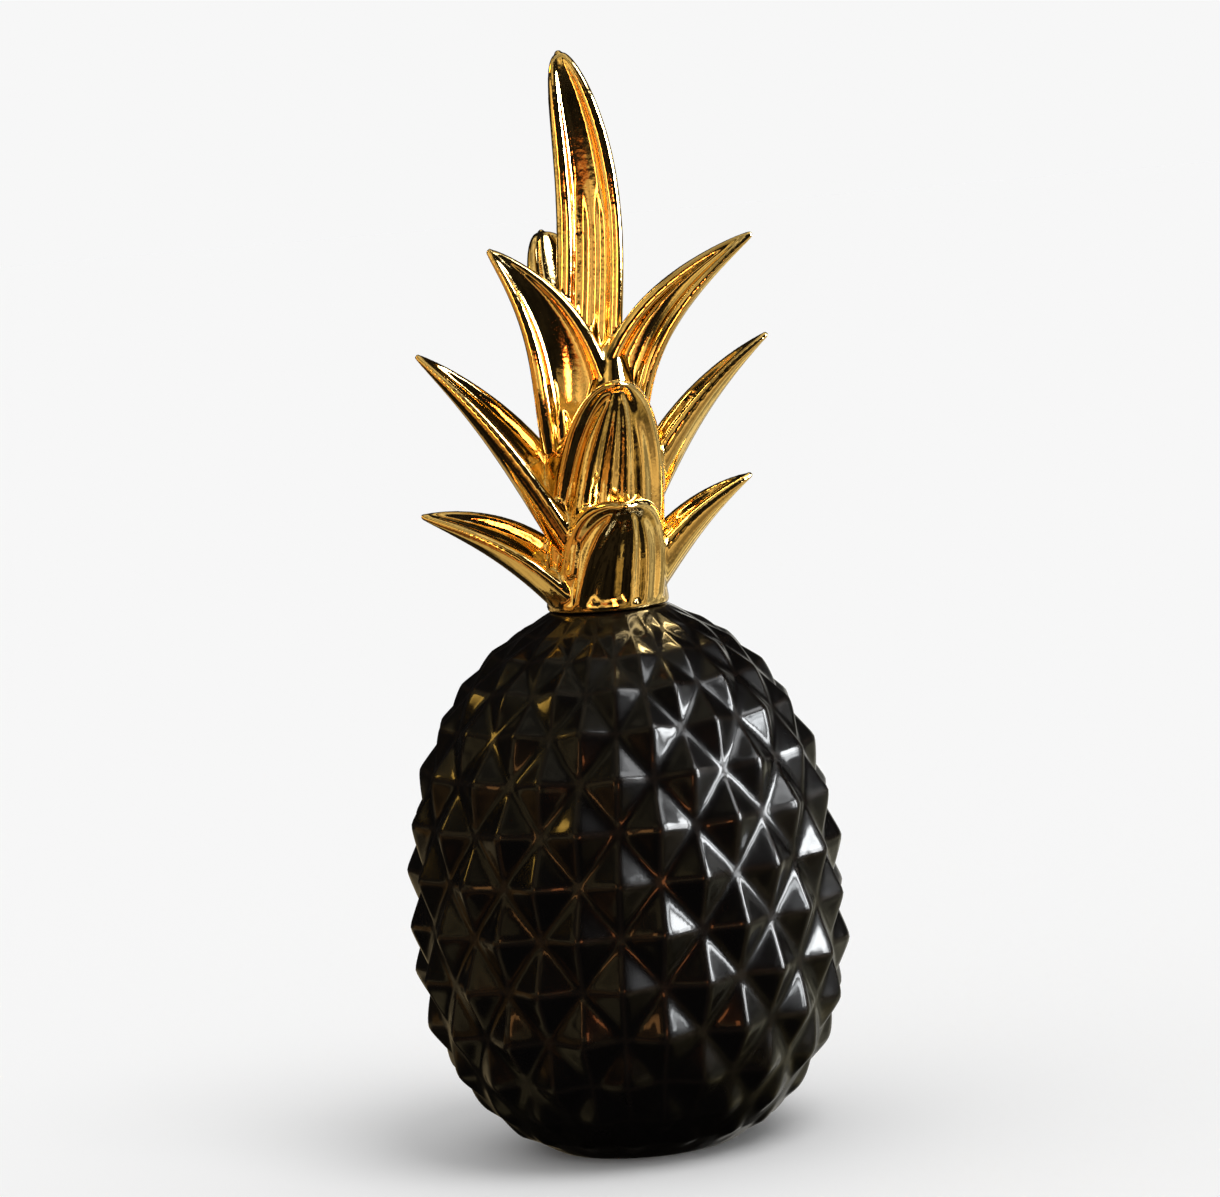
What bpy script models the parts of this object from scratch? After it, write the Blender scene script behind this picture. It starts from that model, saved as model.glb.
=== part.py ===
"""Pineapple figurine: a black glazed fruit cut in diamond facets under a gilded crown of leaves.

Metres, +Z up. The origin is the middle of the flat foot, and -Y is the front.
Azimuths run from the front (0) towards +X (90).
"""
import math

import bmesh
import bpy
from mathutils import Vector

MM = 0.001

# Fruit: one meridian curve for the bottoms of the grooves, with a diamond lattice on it.
NECK_HEIGHT = 139 * MM          # the fruit's flat top, where the crown stands
WIDEST_HEIGHT = 60 * MM         # height of the fruit's widest place
GROOVE_RADIUS = 52.9 * MM       # groove bottoms at the widest place
UPPER_REACH = 80.7 * MM         # how far the curve would run above the widest place, and its power
UPPER_POWER = 2.5
LOWER_REACH = 66.5 * MM         # and below it
LOWER_POWER = 2.55
CELLS_AROUND = 16
LATTICE_HEIGHT = 75 * MM        # the row that the others are counted from, with a point at the front
LATTICE_TURN = math.radians(-2.0)
ROW_STEP = 13.1 * MM            # distance along the curve between rows at the widest place
ROW_SHRINK = 0.7                # rows close up with the radius to this power
ROW_TWIST = math.radians(0.63)  # each row is turned this much past the row below
CELL_RISE = 4.6 * MM            # how proud a full cell's point stands
RISE_SHRINK = 2.0               # smaller cells stand less proud, by the radius to this power
FOOT_RADIUS = 24 * MM
NECK_RADIUS = 15.2 * MM
END_ROOM = 1.1                  # the last rows stay this much wider than the foot and the neck
NECK_SHIFT = 1.8 * MM           # the neck stands this far to +X of the foot's middle
SLOPE_STEP = 0.001 * MM         # half the height over which a slope is measured
WALK_STEPS = 40

# Crown: a stem with tiers of thick cast leaves.
JOINT_GAP = 0.3 * MM
CROWN_BASE = NECK_HEIGHT + JOINT_GAP
STEM_RINGS = (                  # height above the crown's base, radius
    (0.0, 15.6), (1.2, 16.4), (3.0, 15.8), (10.5, 15.0), (15.0, 13.8), (30.0, 13.2), (40.0, 12.4), (45.0, 9.5),
    (49.5, 4.0),
)
STEM_SIDES = 24
WALL = 3.0 * MM                 # thickness of a leaf
TIP_WALL = 0.55                 # share of it that is left at the tip
TIP_HALF_WIDTH = 1.0 * MM
TIP_DEPTH = 0.5 * MM
NOSE_LENGTH = 0.9 * MM          # the rounding past the tip, and its end's share of the tip's size
NOSE_SHARE = 0.5
RIM_BULGE = 0.35                # how round a rim is, as a share of the wall
SECTION_OPENING = math.radians(85)
HANDLE = 0.4                    # handles of a keel's curve, as a share of its chord
STATION_CROWDING = 1.25         # stations crowd towards the tip by this power
LEAF_STATIONS = 9
LEAF_ARC = 6                    # spans across a leaf's outer face, and across its inner face
POINTED = (2.0, 0.85)           # how a leaf's width closes towards its tip
ROUNDED = (3.0, 0.7)
BLUNT = (5.0, 0.55)
SHARP_ANGLE = math.radians(25)


class Leaf:
    """One leaf: a trough that leaves the stem at a root and arches out to a tip.

    Root and tip are (radius, height above the crown's base) of the keel in mm, and the rises its
    slopes there in degrees. The turns, in degrees at root and tip, swing the open side of the
    trough from the stem towards the front. Forward moves the whole leaf to the front, and side
    moves its tip to +X, in mm.
    """

    def __init__(self, name, azimuth, root, tip, rises, width, depth, turns=(0, 0), closing=POINTED,
                 forward=0.0, side=0.0):
        self.name = name
        self.azimuth = math.radians(azimuth)
        self.root = Vector((root[0], 0, root[1])) * MM
        self.tip = Vector((tip[0], 0, tip[1])) * MM
        self.rises = [math.radians(angle) for angle in rises]
        self.width = width * MM
        self.depth = depth * MM
        self.turns = [math.radians(angle) for angle in turns]
        self.closing = closing
        self.forward = forward * MM
        self.side = side * MM


LEAVES = (
    Leaf("low_left", -90, (13.5, 1), (45.5, 26.5), (50, 28), 18, 8.0, turns=(20, 30)),
    Leaf("low_right", 90, (12.5, 1), (39.5, 30), (52, 38), 16, 7.5, turns=(12, 16)),
    Leaf("low_front", 3, (15.4, 1.3), (25.5, 27), (83, 38), 25, 8.0, closing=ROUNDED, side=5),
    Leaf("low_back", 180, (11, 1), (38, 30), (70, 25), 20, 7.0),
    Leaf("middle_left", -90, (9, 10), (43.5, 67.5), (64, 50), 20, 8.5, turns=(20, 28)),
    Leaf("middle_right", 90, (9, 14), (46.5, 65.5), (60, 42), 16, 7.5, turns=(10, 14)),
    Leaf("middle_front", 0, (14.8, 9.5), (26, 58), (86, 52), 26, 8.0, closing=ROUNDED, side=7),
    Leaf("middle_back", 180, (9, 16), (40, 66), (75, 40), 20, 7.0),
    Leaf("high_left", -80, (2, 42), (23, 93), (82, 52), 20, 8.0, turns=(105, 70), forward=-3),
    Leaf("high_right", 85, (4.5, 41), (44.5, 91.5), (80, 34), 13.5, 7.0, turns=(105, 55), forward=-3),
    Leaf("high_back", 206, (6, 42), (21, 96.5), (85, 75), 19, 6.0, closing=BLUNT),
    Leaf("crest", -90, (1.3, 44), (0.5, 142), (95, 76), 15.4, 6.5, turns=(95, 95), closing=BLUNT, forward=-7),
)


def material(name, colour, roughness, metallic):
    """A plain finish for one piece."""
    finish = bpy.data.materials.new(name)
    finish.use_nodes = True
    shader = finish.node_tree.nodes["Principled BSDF"]
    shader.inputs["Base Color"].default_value = (*colour, 1.0)
    shader.inputs["Roughness"].default_value = roughness
    shader.inputs["Metallic"].default_value = metallic
    return finish


def mesh_from(name, bm):
    """A mesh with its faces turned outwards."""
    bmesh.ops.recalc_face_normals(bm, faces=bm.faces)
    mesh = bpy.data.meshes.new(name)
    bm.to_mesh(mesh)
    bm.free()
    return mesh


def closed_mesh(name, rings):
    """A mesh from rings of equal length, joined in order, with a flat face at each end."""
    bm = bmesh.new()
    made = [[bm.verts.new(point) for point in ring] for ring in rings]
    count = len(rings[0])
    for lower, upper in zip(made, made[1:]):
        for i in range(count):
            j = (i + 1) % count
            bm.faces.new((lower[i], lower[j], upper[j], upper[i]))
    bm.faces.new(made[0][::-1])
    bm.faces.new(made[-1])
    return mesh_from(name, bm)


def groove_radius(height):
    """Radius of the groove bottoms at a height: two half superellipses that meet at the widest place."""
    above = height > WIDEST_HEIGHT
    reach, power = (UPPER_REACH, UPPER_POWER) if above else (LOWER_REACH, LOWER_POWER)
    share = min(abs(height - WIDEST_HEIGHT) / reach, 1.0)
    return GROOVE_RADIUS * math.sqrt(1.0 - share ** power)


def groove_slope(height):
    """How fast that radius changes with height."""
    return (groove_radius(height + SLOPE_STEP) - groove_radius(height - SLOPE_STEP)) / (2 * SLOPE_STEP)


def walk(height, distance):
    """The height that lies a distance along the meridian from here, upwards if it is positive."""
    for _ in range(WALK_STEPS):
        height += distance / WALK_STEPS / math.hypot(1.0, groove_slope(height))
    return height


def row_heights():
    """Heights of the lattice rows, from the foot to the neck."""
    rows = [LATTICE_HEIGHT]
    for direction, end_radius in ((-1, FOOT_RADIUS), (1, NECK_RADIUS)):
        height = LATTICE_HEIGHT
        while True:
            closing = (groove_radius(height) / GROOVE_RADIUS) ** ROW_SHRINK
            height = walk(height, direction * ROW_STEP * closing)
            if height <= 0 or height >= NECK_HEIGHT or groove_radius(height) < end_radius * END_ROOM:
                break
            rows.append(height)
    return sorted(rows)


def fruit_point(radius, angle, height):
    """A point of the fruit, which leans a little to +X towards its neck."""
    lean = NECK_SHIFT * (height / NECK_HEIGHT) ** 3
    return (radius * math.sin(angle) + lean, -radius * math.cos(angle), height)


def fruit_row(bm, number, height):
    """One row of the lattice: every other corner stands proud of the grooves."""
    radius = groove_radius(height)
    slope = groove_slope(height)
    rise = CELL_RISE * (radius / GROOVE_RADIUS) ** RISE_SHRINK / math.hypot(1.0, slope)
    ring = []
    for column in range(2 * CELLS_AROUND):
        proud = rise * ((number + column + 1) % 2)
        angle = column_angle(number, column)
        ring.append(bm.verts.new(fruit_point(radius + proud, angle, height - slope * proud)))
    return ring


def plain_ring(bm, number, radius, height):
    """The edge of the flat foot or of the flat top."""
    return [
        bm.verts.new(fruit_point(radius, column_angle(number, column), height))
        for column in range(2 * CELLS_AROUND)
    ]


def column_angle(number, column):
    """Azimuth of a corner of the lattice; rows are numbered from the row at the lattice height."""
    return math.pi * column / CELLS_AROUND + LATTICE_TURN + ROW_TWIST * number


def fruit_body():
    """The fruit: rows of corners from the foot to the neck, with faces that part along the grooves."""
    heights = row_heights()
    first = -heights.index(LATTICE_HEIGHT)
    last = first + len(heights) - 1
    bm = bmesh.new()
    rows = [plain_ring(bm, first - 1, FOOT_RADIUS, 0.0)]
    for number, height in enumerate(heights, first):
        rows.append(fruit_row(bm, number, height))
    rows.append(plain_ring(bm, last + 1, NECK_RADIUS, NECK_HEIGHT))
    for number, (lower, upper) in enumerate(zip(rows, rows[1:]), first):
        for i in range(2 * CELLS_AROUND):
            j = (i + 1) % (2 * CELLS_AROUND)
            if (number + i) % 2:
                bm.faces.new((lower[i], lower[j], upper[i]))
                bm.faces.new((lower[j], upper[j], upper[i]))
            else:
                bm.faces.new((lower[i], lower[j], upper[j]))
                bm.faces.new((lower[i], upper[j], upper[i]))
    bm.faces.new(rows[0][::-1])
    bm.faces.new(rows[-1])
    mesh = mesh_from("fruit_body", bm)
    mesh.materials.append(material("black_glaze", (0.014, 0.011, 0.010), 0.12, 0.0))
    piece = bpy.data.objects.new("fruit_body", mesh)
    bpy.context.collection.objects.link(piece)
    return piece


def keel(leaf, share):
    """Point and direction of a leaf's keel in its own radial plane: a cubic curve from root to tip."""
    handle = (leaf.tip - leaf.root).length * HANDLE
    start = Vector((math.cos(leaf.rises[0]), 0, math.sin(leaf.rises[0]))) * handle
    end = Vector((math.cos(leaf.rises[1]), 0, math.sin(leaf.rises[1]))) * handle
    a, b, c, d = leaf.root, leaf.root + start, leaf.tip - end, leaf.tip
    rest = 1.0 - share
    point = a * rest ** 3 + b * 3 * rest ** 2 * share + c * 3 * rest * share ** 2 + d * share ** 3
    along = (b - a) * rest ** 2 + (c - b) * 2 * rest * share + (d - c) * share ** 2
    return point, along.normalized()


def leaf_section(leaf, share):
    """One closed section of a leaf: the outer face from rim to rim, then the inner face back."""
    point, along = keel(leaf, share)
    inward = Vector((-along.z, 0, along.x))
    across = Vector((0, 1, 0))
    facing = -1.0 if math.sin(leaf.azimuth) > 0 else 1.0
    turn = (leaf.turns[0] + (leaf.turns[1] - leaf.turns[0]) * share) * facing
    open_way = inward * math.cos(turn) + across * math.sin(turn)
    side_way = across * math.cos(turn) - inward * math.sin(turn)
    taper = (1.0 - share ** leaf.closing[0]) ** leaf.closing[1]
    half = leaf.width / 2 * taper + TIP_HALF_WIDTH
    depth = leaf.depth * taper + TIP_DEPTH
    wall = WALL * (TIP_WALL + (1.0 - TIP_WALL) * taper)
    outer = []
    inner = []
    for i in range(LEAF_ARC + 1):
        angle = SECTION_OPENING * (2 * i / LEAF_ARC - 1)
        sideways = half * math.sin(angle) / math.sin(SECTION_OPENING)
        lift = depth * (1 - math.cos(angle)) / (1 - math.cos(SECTION_OPENING))
        normal = open_way * (math.cos(angle) * half) - side_way * (math.sin(angle) * depth)
        outer.append(point + side_way * sideways + open_way * lift)
        inner.append(outer[-1] + normal.normalized() * wall)
    rims = []
    for a, b in ((outer[-1], inner[-1]), (inner[0], outer[0])):
        rims.append((a + b) / 2 + open_way * wall * RIM_BULGE)
    return outer + [rims[0]] + inner[::-1] + [rims[1]]


def leaf_rings(leaf):
    """A leaf's sections in its own radial plane, and a smaller one past the tip that rounds it."""
    rings = []
    for station in range(LEAF_STATIONS + 1):
        share = 1.0 - (1.0 - station / LEAF_STATIONS) ** STATION_CROWDING
        rings.append((share, leaf_section(leaf, share)))
    tip = rings[-1][1]
    middle = sum(tip, Vector((0, 0, 0))) / len(tip)
    past = middle + keel(leaf, 1.0)[1] * NOSE_LENGTH
    rings.append((1.0, [past + (point - middle) * NOSE_SHARE for point in tip]))
    return rings


def leaf_piece(leaf):
    """A leaf as its own closed solid, turned to its azimuth."""
    outwards = Vector((math.sin(leaf.azimuth), -math.cos(leaf.azimuth), 0))
    sideways = Vector((math.cos(leaf.azimuth), math.sin(leaf.azimuth), 0))
    rings = []
    for share, section in leaf_rings(leaf):
        shift = Vector((NECK_SHIFT + leaf.side * share, -leaf.forward, CROWN_BASE))
        rings.append([
            outwards * point.x + sideways * point.y + Vector((0, 0, point.z)) + shift
            for point in section
        ])
    cutter = bpy.data.objects.new(leaf.name, closed_mesh(leaf.name, rings))
    cutter.hide_render = True
    cutter.display_type = "WIRE"
    bpy.context.collection.objects.link(cutter)
    return cutter


def leaf_crown():
    """The crown: a tapering stem, with every leaf fused to it as one casting."""
    angles = [2 * math.pi * (i + 0.5) / STEM_SIDES for i in range(STEM_SIDES)]
    rings = []
    for height, radius in STEM_RINGS:
        out = radius * MM
        up = CROWN_BASE + height * MM
        rings.append([(NECK_SHIFT + out * math.cos(a), out * math.sin(a), up) for a in angles])
    mesh = closed_mesh("leaf_crown", rings)
    mesh.materials.append(material("gilding", (0.90, 0.60, 0.19), 0.14, 1.0))
    crown = bpy.data.objects.new("leaf_crown", mesh)
    bpy.context.collection.objects.link(crown)
    for leaf in LEAVES:
        fuse = crown.modifiers.new(leaf.name, "BOOLEAN")
        fuse.operation = "UNION"
        fuse.solver = "EXACT"
        fuse.object = leaf_piece(leaf)
    return crown


def main():
    for thing in list(bpy.data.objects):
        bpy.data.objects.remove(thing)
    for piece in (fruit_body(), leaf_crown()):
        piece.data.shade_smooth()
        piece.data.set_sharp_from_angle(angle=SHARP_ANGLE)


main()
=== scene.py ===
"""Looks for the pineapple figurine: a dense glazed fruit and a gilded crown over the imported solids.

The shapes repeat the driving dimensions of the part's source, in metres, in the same frame.
"""

import math

import bpy
import numpy as np
from mathutils import Matrix, Vector


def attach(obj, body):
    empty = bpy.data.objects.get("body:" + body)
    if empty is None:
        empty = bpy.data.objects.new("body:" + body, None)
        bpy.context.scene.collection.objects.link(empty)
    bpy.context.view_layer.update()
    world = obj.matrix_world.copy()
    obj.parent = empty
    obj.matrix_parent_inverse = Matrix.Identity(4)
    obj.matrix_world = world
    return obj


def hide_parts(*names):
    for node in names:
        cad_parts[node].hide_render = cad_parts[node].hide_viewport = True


MM = 0.001

# Fruit, as in the part's source.
NECK_HEIGHT = 139 * MM
WIDEST_HEIGHT = 60 * MM
GROOVE_RADIUS = 52.9 * MM
UPPER_REACH, UPPER_POWER = 80.7 * MM, 2.5
LOWER_REACH, LOWER_POWER = 66.5 * MM, 2.55
CELLS_AROUND = 16
LATTICE_HEIGHT = 75 * MM
LATTICE_TURN = math.radians(-2.0)
ROW_STEP, ROW_SHRINK = 13.1 * MM, 0.7
ROW_TWIST = math.radians(0.63)
CELL_RISE, RISE_SHRINK = 4.6 * MM, 2.0
FOOT_RADIUS, NECK_RADIUS, END_ROOM = 24 * MM, 15.2 * MM, 1.1
NECK_SHIFT = 1.8 * MM
SLOPE_STEP = 0.001 * MM
WALK_STEPS = 40

# How the glaze softens the cut shape, as shares of half a cell.
CELL_SAMPLES = 11               # samples of the surface along each step of the lattice
RIDGE_SOFTNESS = 0.06
MELTED_SOFTNESS = 0.30          # the ridges' near the foot, where the glaze has run and pooled
MELT_TOP, MELT_FOOT, MELT_POWER = 42 * MM, 8 * MM, 1.5
GROOVE_SOFTNESS = 0.14          # of the rise of a cell, over which its groove is rounded
DISH = 0.18                     # hollow of each facet between its ridges and its groove
THIN_WIDTH = 0.05               # half width of the thin glaze along a ridge
DULL_TOP, DULL_FOOT = 48 * MM, 12 * MM      # heights between which the wet coat fades

# Crown, as in the part's source.
CROWN_BASE = NECK_HEIGHT + 0.3 * MM
STEM_RINGS = (                  # heights and radii in mm
    (0.0, 15.6), (1.2, 15.8), (3.0, 15.6), (10.5, 15.0), (15.0, 13.8),
    (30.0, 13.2), (40.0, 12.4), (45.0, 9.5), (49.5, 4.0),
)
WALL = 3.0 * MM
TIP_WALL = 0.55                 # share of the wall that is left at a leaf's tip
TIP_HALF_WIDTH = 1.0 * MM
TIP_DEPTH = 0.5 * MM
NOSE_LENGTH = 0.9 * MM
SECTION_OPENING = math.radians(85)
HANDLE = 0.4                    # length of the keel curve's handles, as a share of the leaf
POINTED, ROUNDED, BLUNT = (2.0, 0.85), (3.0, 0.7), (5.0, 0.55)      # powers of a leaf's taper

# Crown, only in the scene: how finely it is sampled, and fused in two castings.
LEAF_RINGS, TIP_CROWDING = 91, 1.35         # sections along a leaf, closer together at the tip
NOSE_RINGS, NOSE_END = 7, 0.02              # sections past the tip, and the last one's size
FACE_SAMPLES, RIM_SAMPLES = 33, 10          # samples across each face and round each rim
ROUND_SAMPLES = 96
LOWER_LEAVES = ("low", "middle")
LOWER_VOXEL, UPPER_VOXEL = 0.50 * MM, 0.38 * MM
SMOOTHING_PASSES = 8

# The throat: a web that fills the crotch between the roots of the upper leaves.
THROAT_RINGS = ((38.0, 8.2), (46.0, 7.6), (53.0, 6.4), (58.0, 5.2), (63.0, 3.8), (67.0, 2.4), (69.0, 0.8))
THROAT_PLACE = (5.6 * MM, -3.6 * MM)
THROAT_LEAN = (0.09, 0.05)      # sideways and backwards, for each unit of height

# Relief of the leaves. A row of flutes is a wave: its count for each radian across, its drift along
# the leaf in radians, and its height, as a share of the leaf's flutes outside and in mm inside.
RIM_BEAD, RIM_BEAD_WIDTH = 0.9 * MM, math.radians(20)
BORDER_ROLL, BORDER_GROOVE = 1.3 * MM, 3.0 * MM
OUTER_FLUTES = ((5, 2.0, 0.40), (9, 3.5, 0.30), (15, 6.0, 0.20), (24, 9.0, 0.10))
INNER_FLUTES = ((5, 0.8, 0.30), (8, 1.5, 0.10))
FLUTES_START = 0.12             # share of the leaf's length over which its inner flutes begin

# Camera, solved from the photo: the aim is a point on the fruit's axis.
FRAME_WIDTH, FRAME_HEIGHT = 1220, 1197
FOCAL_PIXELS = 4515
CAMERA_DISTANCE = 1.17
ELEVATION = math.radians(8.8)
ROLL = math.radians(5.0)
AIM = Vector((0.0, 0.0, 0.075))
AIM_PIXEL = (623, 853)

# Studio.
ROOM_COLOUR = (0.012, 0.010, 0.008)
CLUTTER_SCALE = 5.0             # how finely the room's panels are broken up
CLUTTER_NOISE = (0.38, 0.62)    # the noise's values at their darkest and brightest places
CLUTTER_RANGE = (0.40, 1.40)    # those places' brightness, as shares of the panels' strength
PALE = 0.93                     # brightness of the backdrop and of the lit floor
FLOOR_COLOUR = 0.90
FLOOR_REACH = 30.0
SKY_LIGHT = 0.75                # even light on the floor; the key light gives the rest
KEY_ANGLE = math.radians(30)
KEY_WAY = (45, 62)              # azimuth and elevation
KEY_DISTANCE = 1.6

# The lit things of the room, seen only as reflections: name, azimuth, elevation, half width and
# half height in degrees, softness of the edge, colour, strength.
PANELS = (
    ("window_left", 64, 12, 3.6, 16, 0.06, (0.93, 0.97, 1.0), 62.0),
    ("window_right", 79, 12, 6, 17, 0.06, (0.95, 0.98, 1.0), 60.0),
    ("window_top", 66, 46, 12, 10, 0.10, (0.96, 0.98, 1.0), 12.0),
    ("overhead", -20, 84, 28, 28, 0.25, (1.0, 0.90, 0.62), 0.60),
    ("left_upper", -64, 46, 44, 12, 0.15, (1.0, 0.82, 0.40), 0.38),
    ("left_window", -60, 16, 18, 9, 0.06, (1.0, 0.76, 0.34), 0.80),
    ("front_high", -14, 31, 18, 5, 0.06, (1.0, 0.72, 0.30), 0.40),
    ("front_level", -4, -3.2, 34, 4.9, 0.04, (1.0, 0.72, 0.32), 0.76),
    ("orange_spot", -6, 2.9, 8, 0.9, 0.015, (1.0, 0.26, 0.04), 0.50),
    ("left_band", -74, 2, 30, 3, 0.04, (1.0, 0.78, 0.38), 0.80),
    ("left_level", -82, -10, 32, 8, 0.06, (1.0, 0.50, 0.12), 0.42),
    ("left_near", -44, -18, 6, 14, 0.06, (1.0, 0.46, 0.12), 0.50),
    ("left_low", -64, -32, 15, 6, 0.08, (1.0, 0.36, 0.08), 0.26),
    ("left_floor", -88, -47, 28, 7, 0.08, (1.0, 0.80, 0.40), 0.38),
    ("front_right", 31, -22, 8, 12, 0.08, (1.0, 0.72, 0.26), 0.24),
    ("right_low", 66, -26, 21, 12, 0.10, (1.0, 0.78, 0.42), 0.55),
    ("right_low_far", 118, -24, 29, 17, 0.15, (1.0, 0.94, 0.68), 0.60),
    ("right_floor", 88, -48, 38, 7, 0.12, (1.0, 0.80, 0.36), 0.30),
    ("right_strip", 108, 12, 7, 13, 0.06, (1.0, 1.0, 0.94), 1.30),
    ("right_rear", 160, -8, 18, 22, 0.20, (1.0, 0.98, 0.90), 0.70),
    ("rear", -150, -17, 38, 6, 0.08, (1.0, 0.76, 0.40), 0.28),
    ("ember_left", -35, 8, 3, 8, 0.03, (1.0, 0.45, 0.14), 12.0),
    ("ember_middle", 13, -2, 3, 6, 0.03, (1.0, 0.30, 0.09), 12.0),
    ("spark", -96, 30, 3, 5, 0.03, (1.0, 0.58, 0.10), 16.0),
)


class Leaf:
    """One leaf of the crown, in mm and degrees, as in the part's source up to its side shift.

    The rest is relief: fill is the share of its depth by which the trough is filled, fluted is the
    share of its length with flutes inside, and flutes and border are heights outside, in mm.
    """

    def __init__(self, name, azimuth, root, tip, rises, width, depth, turns=(0, 0), closing=POINTED,
                 forward=0.0, side=0.0,
                 fill=0.30, fluted=0.0, flutes=0.12, border=0.0, creases=()):
        self.name = name
        self.azimuth = math.radians(azimuth)
        self.root = np.array(root) * MM
        self.tip = np.array(tip) * MM
        self.rises = np.radians(rises)
        self.width = width * MM
        self.depth = depth * MM
        self.turns = np.radians(turns)
        self.closing = closing
        self.forward = forward * MM
        self.side = side * MM
        self.fill = fill
        self.fluted = fluted
        self.flutes = flutes * MM
        self.border = border * MM
        self.creases = creases


# Creases of the two front leaves' outer faces: angle across the leaf at the root and at the tip,
# half width in degrees, and height in mm (negative for a groove).
LOW_FRONT_CREASES = (
    (-40, -18, 9, 0.75),
    (-26, -5, 7, -0.45),
    (10, 10, 5, -0.50),
    (20, 18, 5, 0.40),
    (30, 26, 5, -0.50),
    (47, 40, 9, 0.50),
)
MIDDLE_FRONT_CREASES = (
    (-62, -50, 11, -1.10),
    (-36, -14, 10, 1.20),
    (-18, -4, 5, -0.90),
    (-5, 3, 6, 0.60),
    (9, 11, 4, -0.70),
    (19, 17, 4.5, 0.55),
    (32, 25, 5, -0.60),
    (50, 42, 8, 0.50),
)

LEAVES = (
    Leaf("low_left", -90, (13.5, 1), (45.5, 26.5), (50, 28), 18, 8.0, turns=(20, 30)),
    Leaf("low_right", 90, (12.5, 1), (39.5, 30), (52, 38), 16, 7.5, turns=(12, 16)),
    Leaf("low_front", 3, (15.4, 1.3), (25.5, 27), (83, 38), 25, 8.0, closing=ROUNDED, side=5,
         flutes=0.03, border=0.7, creases=LOW_FRONT_CREASES),
    Leaf("low_back", 180, (11, 1), (38, 30), (70, 25), 20, 7.0),
    Leaf("middle_left", -90, (9, 10), (43.5, 67.5), (64, 50), 20, 8.5, turns=(20, 28)),
    Leaf("middle_right", 90, (9, 14), (46.5, 65.5), (60, 42), 16, 7.5, turns=(10, 14)),
    Leaf("middle_front", 0, (14.8, 9.5), (26, 58), (86, 52), 26, 8.0, closing=ROUNDED, side=7,
         flutes=0.03, border=0.8, creases=MIDDLE_FRONT_CREASES),
    Leaf("middle_back", 180, (9, 16), (40, 66), (75, 40), 20, 7.0),
    Leaf("high_left", -80, (2, 42), (23, 93), (82, 52), 20, 8.0, turns=(105, 70), forward=-3,
         fill=0.45, flutes=0.05),
    Leaf("high_right", 85, (4.5, 41), (44.5, 91.5), (80, 34), 13.5, 7.0, turns=(105, 55), forward=-3),
    Leaf("high_back", 206, (6, 42), (21, 96.5), (85, 75), 19, 6.0, closing=BLUNT),
    Leaf("crest", -90, (1.3, 44), (0.5, 142), (95, 76), 15.4, 6.5, turns=(95, 95), closing=BLUNT,
         forward=-7, fill=0.45, fluted=0.68),
)


def groove_radius(height):
    """Radius of the groove bottoms at each height: two half superellipses joined at the widest place."""
    above = height > WIDEST_HEIGHT
    reach = np.where(above, UPPER_REACH, LOWER_REACH)
    power = np.where(above, UPPER_POWER, LOWER_POWER)
    share = np.minimum(np.abs(height - WIDEST_HEIGHT) / reach, 1.0)
    return GROOVE_RADIUS * np.sqrt(1.0 - share ** power)


def groove_slope(height):
    """How fast that radius changes with height."""
    return (groove_radius(height + SLOPE_STEP) - groove_radius(height - SLOPE_STEP)) / (2 * SLOPE_STEP)


def row_heights():
    """Heights of the lattice rows, stepped along the meridian from the row at the lattice height."""
    rows = [LATTICE_HEIGHT]
    for direction, end_radius in ((-1, FOOT_RADIUS), (1, NECK_RADIUS)):
        height = LATTICE_HEIGHT
        while True:
            step = ROW_STEP * (groove_radius(height) / GROOVE_RADIUS) ** ROW_SHRINK
            for _ in range(WALK_STEPS):
                height = height + direction * step / WALK_STEPS / math.hypot(1.0, groove_slope(height))
            if height <= 0 or height >= NECK_HEIGHT or groove_radius(height) < end_radius * END_ROOM:
                break
            rows.append(float(height))
    return sorted(rows)


def grid_faces(rings, columns):
    """Corner numbers of the quads of a grid that is closed around its columns."""
    ring, column = np.meshgrid(np.arange(rings - 1), np.arange(columns), indexing="ij")
    following = (column + 1) % columns
    corners = (
        ring * columns + column,
        ring * columns + following,
        (ring + 1) * columns + following,
        (ring + 1) * columns + column,
    )
    return np.stack(corners, axis=-1).reshape(-1, 4)


def tube_mesh(name, parts):
    """One mesh from several closed tubes, each an array of rings of points, with a face at each end."""
    points, faces, ends, offset = [], [], [], 0
    for rings in parts:
        count, columns = rings.shape[:2]
        points.append(rings.reshape(-1, 3))
        faces.append(grid_faces(count, columns) + offset)
        first = np.arange(columns)[::-1] + offset
        last = np.arange(columns) + offset + (count - 1) * columns
        ends += [first.tolist(), last.tolist()]
        offset += count * columns
    mesh = bpy.data.meshes.new(name)
    mesh.from_pydata(np.concatenate(points).tolist(), [], np.concatenate(faces).tolist() + ends)
    mesh.shade_smooth()
    return mesh


def shown(name, mesh, finish, node):
    """An object for a mesh that stands for one node of the part."""
    mesh.materials.append(finish)
    piece = bpy.data.objects.new(name, mesh)
    bpy.context.scene.collection.objects.link(piece)
    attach(piece, "root")
    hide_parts(node)
    return piece


def soft_larger(a, b, softness):
    """The larger of two values, rounded where they are close."""
    return 0.5 * (a + b + np.sqrt((a - b) ** 2 + softness ** 2))


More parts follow.
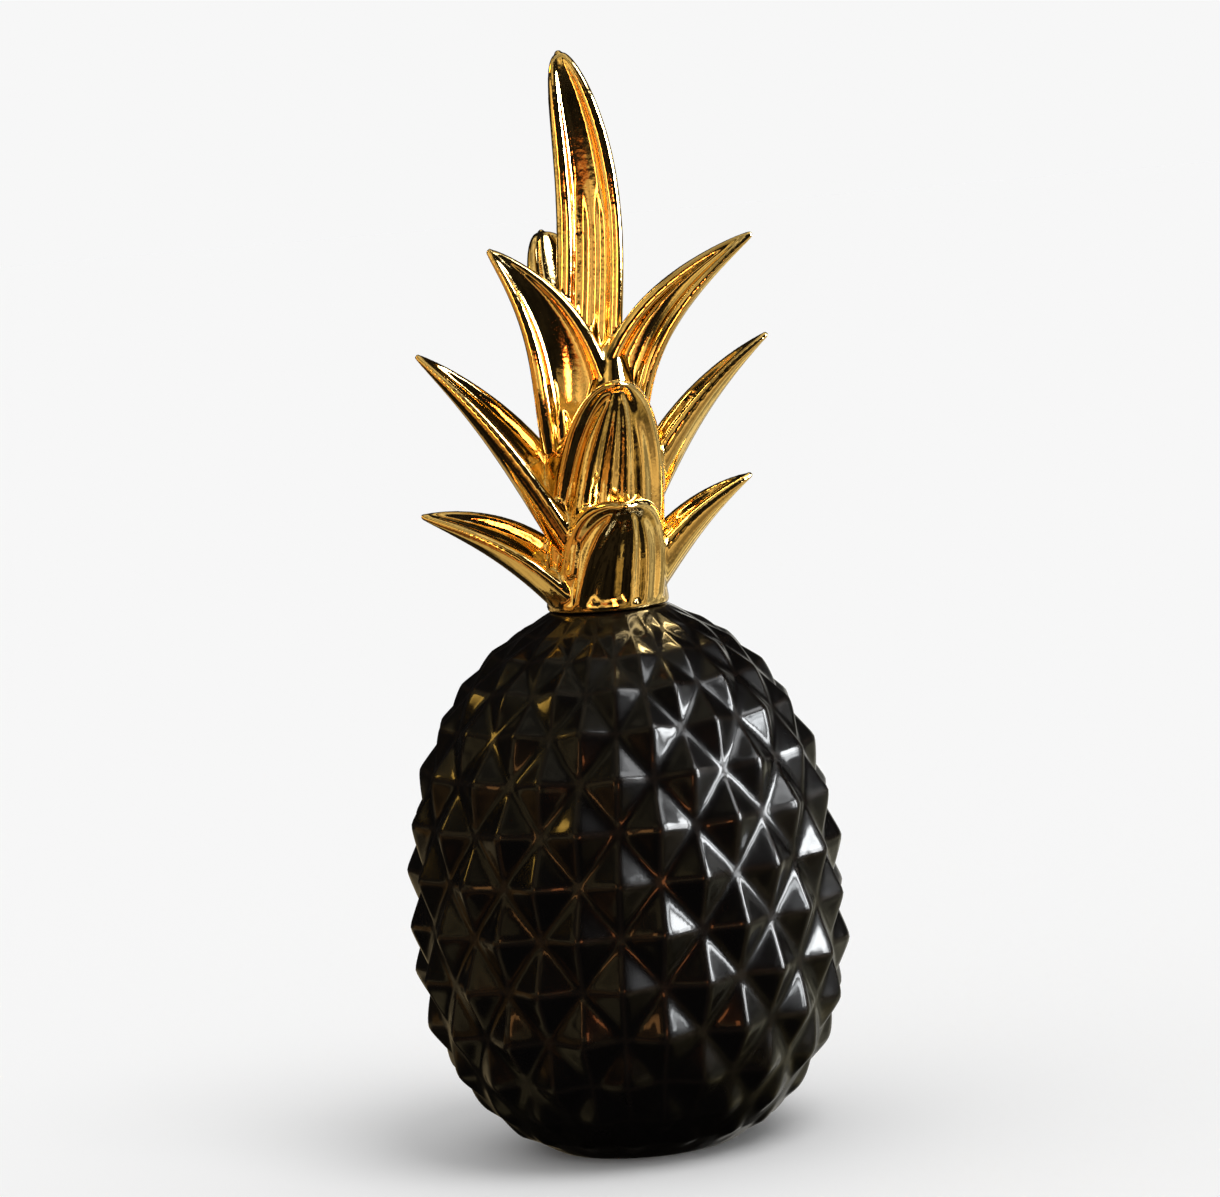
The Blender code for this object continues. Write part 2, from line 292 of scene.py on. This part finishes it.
def cell_height(column, row, ridge_softness):
    """Height over the grooves, from 0 to 1: a four-sided point over each corner whose numbers add up to even.

    The distance from the nearest point is taken in the lattice's own diagonals, so the grooves are
    straight diagonals and the ridges run up, down and to both sides of each point. Each facet is
    hollowed a little by the product of its distances from its two ridges and from its groove.
    """
    first = (column + row) / 2
    second = (column - row) / 2
    first = np.sqrt((first - np.round(first)) ** 2 + (ridge_softness / 2) ** 2)
    second = np.sqrt((second - np.round(second)) ** 2 + (ridge_softness / 2) ** 2)
    plain = np.maximum(1.0 - 2.0 * soft_larger(first, second, ridge_softness), 0.0)
    from_ridges = np.abs(4 * first ** 2 - 4 * second ** 2)
    plain = plain - DISH * plain * from_ridges
    soft = np.sqrt(plain ** 2 + GROOVE_SOFTNESS ** 2) - GROOVE_SOFTNESS
    return soft / (math.hypot(1.0, GROOVE_SOFTNESS) - GROOVE_SOFTNESS)


def ridge_nearness(column, row):
    """1 on the ridges of the cells, falling to 0 within about a tenth of a cell."""
    first = np.abs((column + row) / 2 - np.round((column + row) / 2))
    second = np.abs((column - row) / 2 - np.round((column - row) / 2))
    return np.exp(-(np.abs(first - second) / THIN_WIDTH) ** 2)


def fruit_rings():
    """The fruit's surface: rings that climb the meridian, pushed out along its normal by each cell."""
    heights = row_heights()
    first = -heights.index(LATTICE_HEIGHT)
    last = first + len(heights) - 1
    row = np.linspace(first - 1, last + 1, (last - first + 2) * CELL_SAMPLES + 1)
    column = np.linspace(0, 2 * CELLS_AROUND, 2 * CELLS_AROUND * CELL_SAMPLES, endpoint=False)
    numbers = np.arange(first, last + 1)
    height = np.interp(row, numbers, heights)
    radius = groove_radius(height)
    slope = groove_slope(height)
    rise = CELL_RISE * (radius / GROOVE_RADIUS) ** RISE_SHRINK
    below = np.clip(first - row, 0, 1)
    above = np.clip(row - last, 0, 1)
    radius = radius + (FOOT_RADIUS - radius) * below + (NECK_RADIUS - radius) * above
    height = height * (1 - below) + (NECK_HEIGHT - height) * above
    rise = rise * (1 - below) * (1 - above)
    grid_column, grid_row = np.meshgrid(column, row)
    melt = np.clip((MELT_TOP - height) / (MELT_TOP - MELT_FOOT), 0, 1)[:, None] ** MELT_POWER
    softness = RIDGE_SOFTNESS + (MELTED_SOFTNESS - RIDGE_SOFTNESS) * melt
    proud = rise[:, None] * cell_height(grid_column, grid_row, softness)
    normal_out = 1 / np.hypot(1.0, slope)[:, None]
    out = radius[:, None] + proud * normal_out
    up = height[:, None] - proud * normal_out * slope[:, None]
    angle = math.pi * grid_column / CELLS_AROUND + LATTICE_TURN + ROW_TWIST * grid_row
    lean = NECK_SHIFT * (up / NECK_HEIGHT) ** 3
    rings = np.stack((out * np.sin(angle) + lean, -out * np.cos(angle), up), axis=-1)
    return rings, ridge_nearness(grid_column, grid_row) * (1 - melt)


class Surface:
    """A material's own node tree, with short ways to add and join its nodes."""

    def __init__(self, name):
        self.finish = bpy.data.materials.new(name)
        self.finish.use_nodes = True
        self.tree = self.finish.node_tree
        self.shader = self.tree.nodes["Principled BSDF"]
        self.place = self.add("ShaderNodeTexCoord").outputs["Object"]

    def add(self, kind, **values):
        """A new node, with its inputs set by name, a space written as an underscore."""
        node = self.tree.nodes.new(kind)
        for key, value in values.items():
            node.inputs[key.replace("_", " ")].default_value = value
        return node

    def join(self, source, target):
        """A link from an output to an input."""
        self.tree.links.new(source, target)

    def noise(self, scale, detail):
        """A noise over the object, mostly from 0.3 to 0.7."""
        node = self.add("ShaderNodeTexNoise", Scale=scale, Detail=detail)
        self.join(self.place, node.inputs["Vector"])
        return node.outputs["Fac"]

    def spread(self, value, low, high, start=0.3, end=0.7):
        """The value's range from start to end, mapped to low to high."""
        node = self.add("ShaderNodeMapRange", From_Min=start, From_Max=end, To_Min=low, To_Max=high)
        self.join(value, node.inputs["Value"])
        return node.outputs["Result"]

    def blend(self, value, first, second):
        """A colour between two, by a value from 0 to 1."""
        node = self.tree.nodes.new("ShaderNodeMix")
        node.data_type = "RGBA"
        node.inputs[6].default_value = (*first, 1.0)
        node.inputs[7].default_value = (*second, 1.0)
        self.join(value, node.inputs["Factor"])
        return node.outputs[2]

    def bump(self, height, distance, strength, before=None):
        """A bump over the surface's own normal or over an earlier bump."""
        node = self.add("ShaderNodeBump", Distance=distance, Strength=strength)
        self.join(height, node.inputs["Height"])
        if before is not None:
            self.join(before, node.inputs["Normal"])
        return node.outputs["Normal"]


def glaze():
    """Near-black glaze: a hazy body under a clear wet coat, a little uneven, browner where it is thin.

    The wet coat fades towards the foot.
    """
    surface = Surface("black_glaze")
    shader = surface.shader
    shader.inputs["Specular IOR Level"].default_value = 0.08
    shader.inputs["Coat Roughness"].default_value = 0.035
    shader.inputs["Coat IOR"].default_value = 1.19
    thin = surface.add("ShaderNodeAttribute")
    thin.attribute_name = "thin"
    surface.join(surface.blend(thin.outputs["Fac"], (0.0020, 0.0016, 0.0015), (0.0060, 0.0040, 0.0028)),
                 shader.inputs["Base Color"])
    height = surface.add("ShaderNodeSeparateXYZ")
    surface.join(surface.place, height.inputs["Vector"])
    wet = surface.spread(height.outputs["Z"], 0.3, 1.0, DULL_FOOT, DULL_TOP)
    surface.join(wet, shader.inputs["Coat Weight"])
    cloud = surface.noise(60.0, 3.0)
    surface.join(surface.spread(cloud, 0.25, 0.37), shader.inputs["Roughness"])
    waves = surface.bump(surface.noise(95.0, 2.0), 0.0009, 0.35)
    surface.join(waves, shader.inputs["Normal"])
    surface.join(waves, shader.inputs["Coat Normal"])
    return surface.finish


def gilding():
    """Mirror-bright warm gold: slightly varied in tint and polish, finely rippled and pitted."""
    surface = Surface("gilding")
    shader = surface.shader
    shader.inputs["Metallic"].default_value = 1.0
    cloud = surface.noise(45.0, 3.0)
    surface.join(surface.blend(surface.spread(cloud, 0.0, 1.0), (0.97, 0.66, 0.24), (1.0, 0.74, 0.33)),
                 shader.inputs["Base Color"])
    surface.join(surface.spread(surface.noise(120.0, 4.0), 0.045, 0.10), shader.inputs["Roughness"])
    ripples = surface.bump(surface.noise(170.0, 2.0), 0.0007, 0.12)
    pits = surface.bump(surface.noise(900.0, 2.0), 0.00008, 0.3, before=ripples)
    surface.join(pits, shader.inputs["Normal"])
    return surface.finish


def keel(leaf, share):
    """Points and directions of a leaf's keel, in its radial plane: a cubic curve from root to tip."""
    handle = np.linalg.norm(leaf.tip - leaf.root) * HANDLE
    start = np.array((math.cos(leaf.rises[0]), math.sin(leaf.rises[0]))) * handle
    end = np.array((math.cos(leaf.rises[1]), math.sin(leaf.rises[1]))) * handle
    a, b, c, d = leaf.root, leaf.root + start, leaf.tip - end, leaf.tip
    share = share[:, None]
    rest = 1.0 - share
    point = a * rest ** 3 + b * 3 * rest ** 2 * share + c * 3 * rest * share ** 2 + d * share ** 3
    along = (b - a) * rest ** 2 + (c - b) * 2 * rest * share + (d - c) * share ** 2
    return point, along / np.linalg.norm(along, axis=1)[:, None]


def section_curve():
    """The closed outline of a trough: its outer face, a rim, its inner face and the other rim.

    It returns the angle across the trough, and how far round the wall's edge each sample is: 0 on
    the outer face, 1 on the inner face, and between them round each rim.
    """
    face = np.linspace(-1, 1, FACE_SAMPLES)
    rim = np.linspace(0, 1, RIM_SAMPLES + 2)[1:-1]
    end = np.ones(RIM_SAMPLES)
    across = np.concatenate((face, end, face[::-1], -end))
    through = np.concatenate((np.zeros(FACE_SAMPLES), rim, np.ones(FACE_SAMPLES), rim[::-1]))
    return across * SECTION_OPENING, through


def bell(distance, half_width):
    """A bell curve: 1 at no distance, and about a third at the half width."""
    return np.exp(-(distance / half_width) ** 2)


def ripple(leaf, share, half, angle):
    """Height of the long flutes, the creases and the rolled border over a leaf's plain outer face.

    The flutes are the sum of four sine waves across the leaf that drift sideways towards the tip.
    Each crease is a bell curve across the leaf whose middle moves evenly from root to tip. Both
    fade out at the tip. The border is a bell curve along the leaf's edge, with another taken away
    inside it for a groove.
    """
    across, along = np.meshgrid(angle, share)
    phase = len(leaf.name) + 10 * leaf.azimuth
    flutes = np.zeros(across.shape)
    for count, drift, size in OUTER_FLUTES:
        flutes += size * np.sin(count * across + drift * along + phase * count)
    height = leaf.flutes * flutes
    for at_root, at_tip, half_width, rise in leaf.creases:
        middle = np.radians(at_root) + np.radians(at_tip - at_root) * along
        height += rise * MM * bell(across - middle, math.radians(half_width))
    length = np.linalg.norm(leaf.tip - leaf.root)
    from_tip = np.maximum((1 - along) * length, 0)
    from_side = half * (1 - np.abs(np.sin(across)) / math.sin(SECTION_OPENING))
    edge = np.minimum(from_tip, from_side)
    height *= 1 - bell(from_tip, BORDER_GROOVE)
    return height + leaf.border * (bell(edge, BORDER_ROLL) - bell(edge - BORDER_GROOVE, BORDER_ROLL))


def bed(leaf, share, depth, angle):
    """How far a leaf's trough is filled: a share of its cosine section, and sine waves for its flutes."""
    across, along = np.meshgrid(angle, share)
    filled = leaf.fill * depth * np.cos(across)
    begun = np.clip((leaf.fluted - along) / FLUTES_START, 0, 1)
    for count, drift, size in INNER_FLUTES:
        filled += size * MM * begun * np.sin(count * across + drift * along + count)
    return filled


def leaf_rings(leaf):
    """A leaf's surface: its trough section carried along the keel and rounded off past the tip.

    The section is an arc flattened to the leaf's width and depth, which both taper by a power curve.
    The wall and its relief are laid on along the section's normal, and the rims are half circles.
    Past the tip the last section shrinks as a quarter circle.
    """
    share = 1.0 - (1.0 - np.linspace(0, 1, LEAF_RINGS)) ** TIP_CROWDING
    nose = np.sin(np.linspace(0, 1, NOSE_RINGS + 1)[1:] * math.pi / 2)
    point, along = keel(leaf, share)
    taper = (1.0 - share ** leaf.closing[0]) ** leaf.closing[1]
    shrink = np.sqrt(np.maximum(1.0 - nose ** 2, 0.0)) * (1.0 - NOSE_END) + NOSE_END
    size = np.concatenate((np.ones(LEAF_RINGS), shrink))
    extra = np.concatenate((np.zeros(LEAF_RINGS), nose * NOSE_LENGTH))
    share = np.concatenate((share, np.ones(NOSE_RINGS)))
    taper = np.concatenate((taper, np.zeros(NOSE_RINGS)))
    point = np.concatenate((point, np.repeat(point[-1:], NOSE_RINGS, axis=0)))
    along = np.concatenate((along, np.repeat(along[-1:], NOSE_RINGS, axis=0)))
    point = point + along * extra[:, None]

    facing = -1.0 if math.sin(leaf.azimuth) > 0 else 1.0
    turn = (leaf.turns[0] + (leaf.turns[1] - leaf.turns[0]) * share) * facing
    inward = np.stack((-along[:, 1], np.zeros(len(share)), along[:, 0]), axis=1)
    across = np.array((0.0, 1.0, 0.0))
    open_way = inward * np.cos(turn)[:, None] + across * np.sin(turn)[:, None]
    side_way = across * np.cos(turn)[:, None] - inward * np.sin(turn)[:, None]

    half = (leaf.width / 2 * taper + TIP_HALF_WIDTH)[:, None]
    depth = (leaf.depth * taper + TIP_DEPTH)[:, None]
    wall = (WALL * (TIP_WALL + (1.0 - TIP_WALL) * taper))[:, None]
    angle, through = section_curve()
    sideways = half * np.sin(angle) / math.sin(SECTION_OPENING)
    lift = depth * (1 - np.cos(angle)) / (1 - math.cos(SECTION_OPENING))
    normal_side = -np.sin(angle) * depth
    normal_open = np.cos(angle) * half
    length = np.hypot(normal_side, normal_open)
    inset = wall * (1 - np.cos(through * math.pi)) / 2
    inset = inset - np.cos(through * math.pi / 2) ** 2 * ripple(leaf, share, half, angle)
    bead = RIM_BEAD * bell(np.abs(angle) - SECTION_OPENING, RIM_BEAD_WIDTH) * taper[:, None]
    inset = inset + np.sin(through * math.pi / 2) ** 2 * (bead + bed(leaf, share, depth, angle))
    bulge = wall * np.sin(through * math.pi) / 2
    end = np.sign(angle)
    sideways = sideways + normal_side / length * inset + normal_open / length * bulge * end
    lift = lift + normal_open / length * inset - normal_side / length * bulge * end

    middle_lift = (lift.max(axis=1) + lift.min(axis=1))[:, None] / 2
    sideways = sideways * size[:, None]
    lift = middle_lift + (lift - middle_lift) * size[:, None]
    plane = np.stack((point[:, 0], np.zeros(len(share)), point[:, 1]), axis=1)
    local = (
        plane[:, None]
        + side_way[:, None] * sideways[..., None]
        + open_way[:, None] * lift[..., None]
    )
    outwards = np.array((math.sin(leaf.azimuth), -math.cos(leaf.azimuth), 0.0))
    sidelong = np.array((math.cos(leaf.azimuth), math.sin(leaf.azimuth), 0.0))
    shift = np.stack((
        NECK_SHIFT + leaf.side * share,
        np.full(len(share), -leaf.forward),
        np.full(len(share), CROWN_BASE),
    ), axis=1)
    up = np.array((0.0, 0.0, 1.0))
    return outwards * local[..., :1] + sidelong * local[..., 1:2] + up * local[..., 2:] + shift[:, None]


def round_rings(profile, centre, lean=(0.0, 0.0)):
    """A round body: level circles at the heights and radii of its profile, on a leaning axis."""
    profile = np.array(profile) * MM
    angle = np.linspace(0, 2 * math.pi, ROUND_SAMPLES, endpoint=False)
    height, radius = profile[:, :1], profile[:, 1:]
    rise = height - height[0]
    x = centre[0] + lean[0] * rise + radius * np.cos(angle)
    y = centre[1] + lean[1] * rise + radius * np.sin(angle)
    z = np.repeat(CROWN_BASE + height, len(angle), axis=1)
    return np.stack((x, y, z), axis=-1)


def casting(name, parts, voxel, finish):
    """Closed tubes fused into one skin, drawn back onto the tubes and smoothed where they meet."""
    skin = tube_mesh(name, parts)
    guide = bpy.data.objects.new(name + "_guide", skin.copy())
    guide.hide_render = True
    guide.hide_viewport = True
    bpy.context.scene.collection.objects.link(guide)
    piece = shown(name, skin, finish, "leaf_crown")
    fuse = piece.modifiers.new("fuse", "REMESH")
    fuse.mode = "VOXEL"
    fuse.voxel_size = voxel
    fuse.use_smooth_shade = True
    wrap = piece.modifiers.new("wrap", "SHRINKWRAP")
    wrap.target = guide
    smooth = piece.modifiers.new("smooth", "SMOOTH")
    smooth.factor = 0.5
    smooth.iterations = SMOOTHING_PASSES
    return piece


def crown():
    """The crown in two castings: the stem with its lower leaves, and the upper leaves on their throat."""
    finish = gilding()
    stem = round_rings(STEM_RINGS, (NECK_SHIFT, 0.0))
    throat = round_rings(THROAT_RINGS, THROAT_PLACE, THROAT_LEAN)
    lower = [leaf_rings(leaf) for leaf in LEAVES if leaf.name.startswith(LOWER_LEAVES)]
    upper = [leaf_rings(leaf) for leaf in LEAVES if not leaf.name.startswith(LOWER_LEAVES)]
    casting("lower_crown", [stem] + lower, LOWER_VOXEL, finish)
    casting("upper_crown", [throat] + upper, UPPER_VOXEL, finish)


def fruit():
    """The fruit in its dense form, with a record of where its glaze is thin: on the ridges and points."""
    rings, thin = fruit_rings()
    mesh = tube_mesh("glazed_fruit", [rings])
    mesh.attributes.new("thin", "FLOAT", "POINT").data.foreach_set("value", thin.astype(np.float32).ravel())
    return shown("glazed_fruit", mesh, glaze(), "fruit_body")


def camera():
    """A camera where the photo's stood, turned so that the aim lands on its own pixel."""
    data = bpy.data.cameras.new("photo_view")
    data.sensor_width = 36.0
    data.lens = FOCAL_PIXELS * data.sensor_width / FRAME_WIDTH
    data.clip_start, data.clip_end = 0.05, 20.0
    back = Vector((0.0, -math.cos(ELEVATION), math.sin(ELEVATION)))
    right = Vector((1.0, 0.0, 0.0))
    upward = Vector((0.0, math.sin(ELEVATION), math.cos(ELEVATION)))
    across = right * math.cos(ROLL) - upward * math.sin(ROLL)
    above = right * math.sin(ROLL) + upward * math.cos(ROLL)
    basis = Matrix((across, above, back)).transposed()
    offset = Vector((AIM_PIXEL[0] - FRAME_WIDTH / 2, FRAME_HEIGHT / 2 - AIM_PIXEL[1], -FOCAL_PIXELS))
    turn = offset.rotation_difference(Vector((0.0, 0.0, -1.0))).to_matrix()
    view = bpy.data.objects.new("photo_view", data)
    view.matrix_world = Matrix.Translation(AIM + back * CAMERA_DISTANCE) @ (basis @ turn).to_4x4()
    bpy.context.scene.collection.objects.link(view)
    bpy.context.scene.camera = view


def floor():
    """A wide pale floor."""
    mesh = bpy.data.meshes.new("floor")
    far = FLOOR_REACH
    mesh.from_pydata([(-far, -far, 0), (far, -far, 0), (far, far, 0), (-far, far, 0)], [], [(0, 1, 2, 3)])
    finish = bpy.data.materials.new("floor")
    finish.use_nodes = True
    shader = finish.node_tree.nodes["Principled BSDF"]
    shader.inputs["Base Color"].default_value = (FLOOR_COLOUR, FLOOR_COLOUR, FLOOR_COLOUR, 1.0)
    shader.inputs["Roughness"].default_value = 1.0
    shader.inputs["Specular IOR Level"].default_value = 0.0
    mesh.materials.append(finish)
    ground = bpy.data.objects.new("floor", mesh)
    bpy.context.scene.collection.objects.link(ground)
    ground.visible_glossy = False


def direction(azimuth, elevation):
    """The way from the object to a place in the studio. Azimuth 0 is the front and 90 is +X."""
    a, e = math.radians(azimuth), math.radians(elevation)
    return Vector((math.sin(a) * math.cos(e), -math.cos(a) * math.cos(e), math.sin(e)))


def panel_group():
    """Node group: 1 where a direction meets an upright rectangular panel of the studio, else 0."""
    group = bpy.data.node_groups.new("panel", "ShaderNodeTree")
    face = group.interface
    face.new_socket("Direction", in_out="INPUT", socket_type="NodeSocketVector")
    face.new_socket("Out", in_out="INPUT", socket_type="NodeSocketVector")
    face.new_socket("Right", in_out="INPUT", socket_type="NodeSocketVector")
    face.new_socket("Up", in_out="INPUT", socket_type="NodeSocketVector")
    face.new_socket("Half Width", in_out="INPUT", socket_type="NodeSocketFloat")
    face.new_socket("Half Height", in_out="INPUT", socket_type="NodeSocketFloat")
    face.new_socket("Edge", in_out="INPUT", socket_type="NodeSocketFloat")
    face.new_socket("Mask", in_out="OUTPUT", socket_type="NodeSocketFloat")
    into = group.nodes.new("NodeGroupInput")
    out = group.nodes.new("NodeGroupOutput")

    def dot(name):
        node = group.nodes.new("ShaderNodeVectorMath")
        node.operation = "DOT_PRODUCT"
        group.links.new(into.outputs["Direction"], node.inputs[0])
        group.links.new(into.outputs[name], node.inputs[1])
        return node.outputs["Value"]

    def maths(operation, first, second=None):
        node = group.nodes.new("ShaderNodeMath")
        node.operation = operation
        for socket, value in zip(node.inputs, (first, second)):
            if isinstance(value, (int, float)):
                socket.default_value = value
            elif value is not None:
                group.links.new(value, socket)
        return node.outputs["Value"]

    ahead = dot("Out")
    safe = maths("MAXIMUM", ahead, 0.001)
    mask = maths("GREATER_THAN", ahead, 0.0)
    for way, size in (("Right", "Half Width"), ("Up", "Half Height")):
        away = maths("ABSOLUTE", maths("DIVIDE", dot(way), safe))
        room = maths("DIVIDE", maths("SUBTRACT", into.outputs[size], away), into.outputs["Edge"])
        inside = maths("MINIMUM", maths("MAXIMUM", maths("ADD", room, 0.5), 0.0), 1.0)
        mask = maths("MULTIPLY", mask, inside)
    group.links.new(mask, out.inputs["Mask"])
    return group


def surroundings():
    """An even pale studio for the camera and the floor, and a dark room with lit panels for reflections."""
    world = bpy.data.worlds.new("studio")
    bpy.context.scene.world = world
    world.use_nodes = True
    tree = world.node_tree
    tree.nodes.clear()
    place = tree.nodes.new("ShaderNodeTexCoord")
    group = panel_group()
    total = None
    for name, azimuth, elevation, half_width, half_height, edge, colour, strength in PANELS:
        way = direction(azimuth, elevation)
        right = Vector((math.cos(math.radians(azimuth)), math.sin(math.radians(azimuth)), 0.0))
        node = tree.nodes.new("ShaderNodeGroup")
        node.name = name
        node.node_tree = group
        node.inputs["Out"].default_value = way
        node.inputs["Right"].default_value = right
        node.inputs["Up"].default_value = way.cross(right)
        node.inputs["Half Width"].default_value = math.tan(math.radians(half_width))
        node.inputs["Half Height"].default_value = math.tan(math.radians(half_height))
        node.inputs["Edge"].default_value = edge
        tree.links.new(place.outputs["Generated"], node.inputs["Direction"])
        lit = tree.nodes.new("ShaderNodeVectorMath")
        lit.operation = "SCALE"
        lit.inputs[0].default_value = [channel * strength for channel in colour]
        tree.links.new(node.outputs["Mask"], lit.inputs["Scale"])
        add = tree.nodes.new("ShaderNodeVectorMath")
        add.operation = "ADD"
        if total is None:
            add.inputs[0].default_value = ROOM_COLOUR
        else:
            tree.links.new(total, add.inputs[0])
        tree.links.new(lit.outputs["Vector"], add.inputs[1])
        total = add.outputs["Vector"]
    noise = tree.nodes.new("ShaderNodeTexNoise")
    noise.inputs["Scale"].default_value = CLUTTER_SCALE
    noise.inputs["Detail"].default_value = 1.0
    tree.links.new(place.outputs["Generated"], noise.inputs["Vector"])
    clutter = tree.nodes.new("ShaderNodeMapRange")
    clutter.inputs["From Min"].default_value = CLUTTER_NOISE[0]
    clutter.inputs["From Max"].default_value = CLUTTER_NOISE[1]
    clutter.inputs["To Min"].default_value = CLUTTER_RANGE[0]
    clutter.inputs["To Max"].default_value = CLUTTER_RANGE[1]
    tree.links.new(noise.outputs["Fac"], clutter.inputs["Value"])
    room = tree.nodes.new("ShaderNodeBackground")
    tree.links.new(total, room.inputs["Color"])
    tree.links.new(clutter.outputs["Result"], room.inputs["Strength"])
    pale = tree.nodes.new("ShaderNodeBackground")
    path = tree.nodes.new("ShaderNodeLightPath")
    level = tree.nodes.new("ShaderNodeMapRange")
    level.inputs["To Min"].default_value = SKY_LIGHT
    level.inputs["To Max"].default_value = PALE
    tree.links.new(path.outputs["Is Camera Ray"], level.inputs["Value"])
    tree.links.new(level.outputs["Result"], pale.inputs["Color"])
    mix = tree.nodes.new("ShaderNodeMixShader")
    out = tree.nodes.new("ShaderNodeOutputWorld")
    tree.links.new(path.outputs["Is Glossy Ray"], mix.inputs["Fac"])
    tree.links.new(pale.outputs["Background"], mix.inputs[1])
    tree.links.new(room.outputs["Background"], mix.inputs[2])
    tree.links.new(mix.outputs["Shader"], out.inputs["Surface"])


def key_light():
    """A broad, soft distant light over the right front, which gives the floor its faint shadow."""
    way = direction(*KEY_WAY)
    data = bpy.data.lights.new("key", "SUN")
    data.angle = KEY_ANGLE
    data.energy = (PALE / FLOOR_COLOUR - SKY_LIGHT) * math.pi / way.z
    light = bpy.data.objects.new("key", data)
    light.location = way * KEY_DISTANCE
    light.rotation_mode = "QUATERNION"
    light.rotation_quaternion = way.to_track_quat("Z", "Y")
    light.visible_glossy = False
    bpy.context.scene.collection.objects.link(light)


def main():
    """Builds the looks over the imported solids."""
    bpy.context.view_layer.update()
    view = bpy.context.scene.view_settings
    view.view_transform = "Standard"
    fruit()
    crown()
    floor()
    surroundings()
    key_light()
    camera()
    bpy.context.view_layer.update()


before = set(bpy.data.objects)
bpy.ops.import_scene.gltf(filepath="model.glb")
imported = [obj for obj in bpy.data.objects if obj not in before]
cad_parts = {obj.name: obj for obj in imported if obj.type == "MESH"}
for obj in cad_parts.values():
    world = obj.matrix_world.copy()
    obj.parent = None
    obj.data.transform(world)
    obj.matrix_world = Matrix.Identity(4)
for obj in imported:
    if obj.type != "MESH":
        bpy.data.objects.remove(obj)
main()
